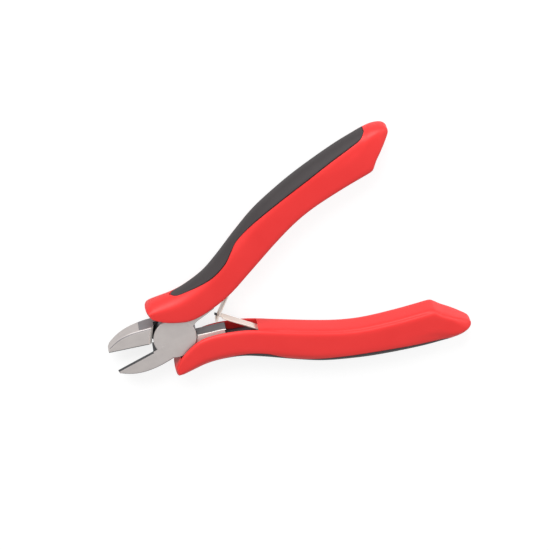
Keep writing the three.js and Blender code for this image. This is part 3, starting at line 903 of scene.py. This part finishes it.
def lap_step(side, face):
    """A bar across the jaw's root, with a chamfered wall at the seat's radius, turned by the step's slant."""
    wall, lap = -SEAT_RADIUS, face * FIT_GAP / 2
    foot = wall - STEP_CHAMFER
    outline = [(PAST, lap), (wall, lap), (wall, face * (STEP_CHAMFER - HALF_THICKNESS))]
    outline += [(foot, -face * HALF_THICKNESS), (foot, -face * PAST), (PAST, -face * PAST)]
    along, z = np.array(outline, float).T
    c, s = math.cos(STEP_ANGLE), math.sin(STEP_ANGLE)
    own = np.stack([np.stack([c * along - s * y, s * along + c * y, z], axis=-1) for y in (-PAST, PAST)])
    return loop_piece("lap_step", own, side)


print("boss %.1f mm across, step slanted by %.0f degrees" % (2 * BOSS_RADIUS, math.degrees(STEP_ANGLE)))

# %% [markdown]
# The tang is a plain bar between its two edges. A notch in it holds the leaf's root and lets the leaf swing,
# so it is cut between the leaf's open and its closed line. The rivet's profile is used twice: grown by the
# gap it cuts its own room, and as it is it turns the rivet.

# %% Tang, leaf notch and rivet
TANG_HALF_THICKNESS, TANG_BAR_START, TANG_STATIONS, TANG_ROUNDS = 2.6, 2.2, 60, (0.3, 0.3, 0.3, 0.3)
RIVET_SHANK, RIVET_HEAD, RIVET_HEAD_THICKNESS, RIVET_END = 2.4, 4.0, 1.4, 2.9
LEAF_THICKNESS, CROSSING_REACH = 0.5, 15.8
LEAF_ROOT = np.array([28.6, 6.9])
LEAF_CROSSING = CROSSING_REACH * np.array([math.cos(HALF_OPEN_ANGLE), -math.sin(HALF_OPEN_ANGLE)])
LEAF_LINE = LEAF_CROSSING - LEAF_ROOT
LEAF_LENGTH = float(np.linalg.norm(LEAF_LINE))
LEAF_AHEAD = LEAF_LINE / LEAF_LENGTH


def beside(ahead):
    """A direction turned left by a quarter turn."""
    return np.array([-ahead[1], ahead[0]])


def tang_piece(name, side):
    """A bar with rounded corners between the tang's inner and outer edge."""
    x = np.linspace(TANG_BAR_START, TANG_LENGTH, TANG_STATIONS)
    start, height = TANG_INNER_START
    inner = np.where(x < start, height * x / start, tang_inner(x))
    outer, half = tang_outer(x), TANG_HALF_THICKNESS + 0 * x
    corners = [(inner, -half), (outer, -half), (outer, half), (inner, half)]
    return bar(name, x, corners, TANG_ROUNDS, side)


def leaf_notch(side):
    """Room in the tang for the leaf's root, between its open and its closed line."""
    closed = math.asin(LEAF_ROOT[1] / LEAF_LENGTH)
    shut = -np.array([math.cos(closed), math.sin(closed)])
    room = LEAF_THICKNESS / 2 + FIT_GAP
    outline = [LEAF_ROOT - room * LEAF_AHEAD + room * beside(LEAF_AHEAD)]
    outline += [LEAF_CROSSING + room * beside(LEAF_AHEAD)]
    outline += [LEAF_ROOT + LEAF_LENGTH * shut - room * beside(shut)]
    outline += [LEAF_ROOT - room * shut - room * beside(shut)]
    return upright("leaf_notch", outline, -PAST, PAST, side)


def rivet_profile(margin, rear):
    """Shank with a flat head at the rear, as (radius, z), grown by a margin."""
    end, head = RIVET_END + margin, -HALF_THICKNESS + RIVET_HEAD_THICKNESS + margin
    shank, wide = RIVET_SHANK + margin, RIVET_HEAD + margin
    return [(AXIS_RADIUS, rear), (wide, rear), (wide, head), (shank, head), (shank, end), (AXIS_RADIUS, end)]


print("leaf %.2f mm from root to crossing" % LEAF_LENGTH)

# %% [markdown]
# Each half is then put together. The jaw and the tang are cut and joined, the other boss's seat and the
# rivet's room are sunk into them, and the half's own boss and web go on last.

# %% Forged halves
SPRING_ROOM = [(16.8, 0.0), (16.8, 4.3), (17.1, 4.9), (17.8, 5.1), (26.5, 6.0), (26.5, 0.0)]
WEB = [
    (6.6, -0.6), (7.4, 0.6), (9.5, 1.2), (13.0, 1.5), (16.4, 1.95), (16.4, 2.6), (12.5, 5.5), (5.5, 5.5),
]


def forged_half(name, side, face):
    """Jaw and tang cut by the step, the spring's room and the other boss's seat, then boss and web added."""
    low, high = sorted((face * FIT_GAP / 2, face * HALF_THICKNESS))
    seat = sorted((face * FIT_GAP / 2, -face * PAST))
    half = combine(jaw_piece(name, side), lap_step(side, face), "DIFFERENCE")
    tang = combine(tang_piece("tang", side), leaf_notch(side), "DIFFERENCE")
    combine(tang, upright("spring_room", SPRING_ROOM, -PAST, PAST, side), "DIFFERENCE")
    combine(half, tang, "UNION")
    combine(half, disc("seat", SEAT_RADIUS, *seat), "DIFFERENCE")
    boss = disc("boss", BOSS_RADIUS, low + HAIR, high - HAIR, CHAMFER)
    for blank in (half, boss):
        combine(blank, lathe("rivet_room", rivet_profile(FIT_GAP, -PAST)), "DIFFERENCE")
    combine(half, boss, "UNION")
    if face > 0:
        combine(half, upright("web", WEB, low + 2 * HAIR, high - 2 * HAIR, side), "UNION")
    soften(half)
    flats = half.modifiers.new("flats", "WEIGHTED_NORMAL")
    flats.keep_sharp = True
    return half


halves = []
for side, face, body, node in ((1, 1, "front", "front_half"), (-1, -1, "rear", "rear_half")):
    half = forged_half(node + "_forged", side, face)
    halves.append((half, side, body, node))
    print(half.name, len(half.data.vertices), "points")

# %% [markdown]
# The faces are sorted into the four states of the steel by where they lie and which way they look: that is
# how grinding and milling reach a forging. The same sorting puts painted shade in the notches, gaps and
# bevels and on the jaw's rounded back corner, and a painted highlight on the lap step's chamfer.

# %% State of each face
GROUND_FACE, DARK_WALL_AND_SHADE_FACE, PAINTED_SHADE_FACE, MILLED_AND_HIGHLIGHT_FACE = range(len(STEEL))
TIP_GROUND, JAW_BEGIN, SPRING_WALL = -10.6, -2.0, SPRING_ROOM[0][0] - 0.05
LEVEL, SIDEWAYS = 0.5, 0.3
CORNER_SIDEWAYS, CORNER_LOW, CORNER_HIGH = 0.2, 0.65, 0.9


def face_places(mesh):
    """Centre and normal of every face, one row each."""
    centre, normal = np.empty(len(mesh.polygons) * 3), np.empty(len(mesh.polygons) * 3)
    mesh.polygons.foreach_get("center", centre)
    mesh.polygons.foreach_get("normal", normal)
    return centre.reshape(-1, 3), normal.reshape(-1, 3)


def sort_faces(half, side):
    """A steel state for each face, from its place and normal turned back to the half's own drawing."""
    centre, normal = face_places(half.data)
    c, s = math.cos(HALF_OPEN_ANGLE), side * math.sin(HALF_OPEN_ANGLE)
    turn_back = np.array([[c, -s, 0], [s, c, 0], [0, 0, 1]]) @ np.diag([1.0, side, 1.0])
    x, _, z = (centre @ turn_back).T / MILLIMETRE
    along, across, up = (normal @ turn_back).T
    depth = np.abs(z + HALF_THICKNESS)
    flat, wall, jaw, blade = np.abs(up) > LEVEL, np.abs(up) < LEVEL, x < JAW_BEGIN, x < -JAW_TAPER_START
    finish = np.where(wall, DARK_WALL_AND_SHADE_FACE, GROUND_FACE)
    finish[(x < TIP_GROUND) & (across < -SIDEWAYS)] = GROUND_FACE
    # Painted shade: the jaw's rounded back corner gets the darker wall steel, which damps the highlight there.
    finish[jaw & (across < -CORNER_SIDEWAYS) & (up > CORNER_LOW) & (up < CORNER_HIGH)] = DARK_WALL_AND_SHADE_FACE
    # Painted shade: the bevels by the cutting edge, which face away from the light, get the dark steel.
    finish[blade & (across > SIDEWAYS)] = PAINTED_SHADE_FACE
    # Painted shade: the walls at the jaw's root beside the boss get the dark steel, for the wedge of shade
    # there.
    finish[jaw & (x > -JAW_TAPER_START) & wall & (across > SIDEWAYS)] = PAINTED_SHADE_FACE
    finish[(x > 0) & flat & (depth < TANG_HALF_THICKNESS + FIT_GAP)] = MILLED_AND_HIGHLIGHT_FACE
    # Painted shade: the tang from the spring's room on, with the room's walls, and the lap's floor get the
    # dark steel.
    finish[(x > SPRING_WALL) | flat & (depth < FIT_GAP)] = PAINTED_SHADE_FACE
    # Painted highlight: the chamfer of the lap step gets the pale milled steel.
    finish[(x < 0) & (along > LEVEL) & flat] = MILLED_AND_HIGHLIGHT_FACE
    half.data.polygons.foreach_set("material_index", finish.astype(np.int32))


for half, side, body, node in halves:
    dress(half, STEEL, body, node)
    sort_faces(half, side)

# %% [markdown]
# ## The rivet
# It shows only at the rear, where its flat head lies in the boss with a fine dark ring round it. The profile
# that cut its room, without the margin, turns the rivet too.

# %% Rivet
RIVET_BEVEL = 0.2
rear = -HALF_THICKNESS
profile = rivet_profile(0.0, rear)
profile[1:2] = [(RIVET_HEAD - RIVET_BEVEL, rear), (RIVET_HEAD, rear + RIVET_BEVEL)]
dress(lathe("joint_rivet_turned", profile), (RIVET,), "front", "joint_rivet")

# %% [markdown]
# ## The leaf springs
# Each leaf is a strip of spring steel on edge, from a notch in its tang to where the two cross. One ends in
# an eye, the other in a tongue that stands in it. The strip is a rounded rectangle carried along a straight
# line.

# %% Leaf strips
LEAF_WIDTH, LEAF_ROUNDS, LEAF_STATIONS = 3.6, (0.14, 0.14, 0.14, 0.14), 48
OVERSHOOT, TONGUE_WIDTH, TONGUE_ROOT, EYE_LENGTH, EYE_BAR, EYE_REACH = 1.3, 1.3, 3.0, 2.6, 0.7, 1.0
BEND_SHARE = 0.7


def leaf_strip(name, side, start, stop, width):
    """A rounded rectangle of thickness by width at each step along the leaf's line, square to that line."""
    run = np.linspace(start, stop, LEAF_STATIONS)
    t, w = LEAF_THICKNESS / 2, width / 2
    section = rounded(np.array([[(-t, -w), (t, -w), (t, w), (-t, w)]], float), LEAF_ROUNDS)[0]
    middle = LEAF_ROOT + run[:, None] * LEAF_AHEAD
    plan = middle[:, None, :] + section[None, :, :1] * beside(LEAF_AHEAD)
    own = np.concatenate([plan, np.broadcast_to(section[None, :, 1:], plan.shape[:2] + (1,))], axis=-1)
    return loop_piece(name, own, side)


def leaf_cut(side, start, stop, width):
    """The eye: an upright block through the strip."""
    ends = LEAF_ROOT + np.array([[start], [start], [stop], [stop]]) * LEAF_AHEAD
    outline = ends + EYE_REACH * np.array([[-1], [1], [1], [-1]]) * beside(LEAF_AHEAD)
    return upright("eye", outline, -width / 2, width / 2, side)


def darken_tip(leaf):
    """Painted shade on the tongue's end: faces further past the crossing than the strip is thick get the dark
    steel.
    """
    tip, ahead_of_tip = place(np.array([[*LEAF_CROSSING, 0.0], [*(LEAF_CROSSING + LEAF_LINE), 0.0]]), -1)
    line = ahead_of_tip - tip
    past = (face_places(leaf.data)[0] - tip) @ line / np.linalg.norm(line)
    dark = past > LEAF_THICKNESS * MILLIMETRE
    leaf.data.polygons.foreach_set("material_index", dark.astype(np.int32))


leaf_end = LEAF_LENGTH + OVERSHOOT
upper_leaf = leaf_strip("upper_leaf_strip", 1, 0.0, leaf_end + EYE_BAR, LEAF_WIDTH)
combine(upper_leaf, leaf_cut(1, leaf_end - EYE_LENGTH, leaf_end, TONGUE_WIDTH + 2 * FIT_GAP), "DIFFERENCE")
lower_leaf = leaf_strip("lower_leaf_strip", -1, 0.0, LEAF_LENGTH - OVERSHOOT, LEAF_WIDTH)
combine(lower_leaf, leaf_strip("tongue", -1, LEAF_LENGTH - TONGUE_ROOT, leaf_end, TONGUE_WIDTH), "UNION")
leaves = ((upper_leaf, 1, "front", "upper_leaf"), (lower_leaf, -1, "rear", "lower_leaf"))
for leaf, side, handle, body in leaves:
    soften(leaf)
    # The second finish is the dark steel, painted shade for the end of the lower leaf's tongue.
    dress(leaf, (LEAF, PAINTED_SHADE), None, body + "_spring")
    if side < 0:
        darken_tip(leaf)
    ends = place(np.array([[*LEAF_ROOT, 0.0], [*(LEAF_ROOT + BEND_SHARE * LEAF_LINE), 0.0]]), side)
    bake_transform(leaf)
